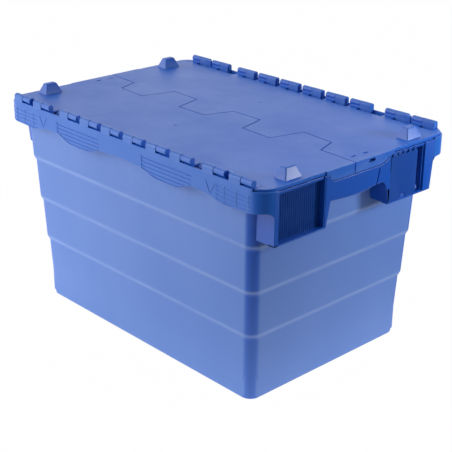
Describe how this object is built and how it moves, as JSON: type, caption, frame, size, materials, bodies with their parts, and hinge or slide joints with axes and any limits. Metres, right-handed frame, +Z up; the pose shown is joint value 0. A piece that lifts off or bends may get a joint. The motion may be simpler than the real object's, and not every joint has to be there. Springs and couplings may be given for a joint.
{
  "type": "attached-lid stacking crate",
  "caption": "Tapered plastic crate with stepped walls, a deep collar with hand holds and label pockets, and interlocking hinged lid halves that open outwards.",
  "frame": {"origin": "on the ground, under the middle of the crate", "axes": "+X along the crate towards the short end with the hand hold, +Y across it towards the rear hinge, +Z up"},
  "size_m": [0.6, 0.4, 0.365],
  "materials": {
    "crate_plastic": "injection-moulded blue polypropylene, fine matt grain on the walls, smoother collar",
    "lid_plastic": "injection-moulded blue polypropylene, satin, lightly scuffed",
    "label_plastic": "smooth moulded blue polypropylene"
  },
  "bodies": {
    "container": {"container_body": "crate_plastic", "label_plate_right": "label_plastic", "label_plate_left": "label_plastic"},
    "front_lid": {"lid_front": "lid_plastic"},
    "rear_lid": {"lid_rear": "lid_plastic"}
  },
  "joints": [
    {"name": "front_lid_hinge", "type": "hinge", "parent": "container", "child": "front_lid", "pos_m": [0, -0.1947, 0.3547], "axis": [1, 0, 0], "range_deg": [0, 268]},
    {"name": "rear_lid_hinge", "type": "hinge", "parent": "container", "child": "rear_lid", "pos_m": [0, 0.1947, 0.3547], "axis": [-1, 0, 0], "range_deg": [0, 268]}
  ]
}
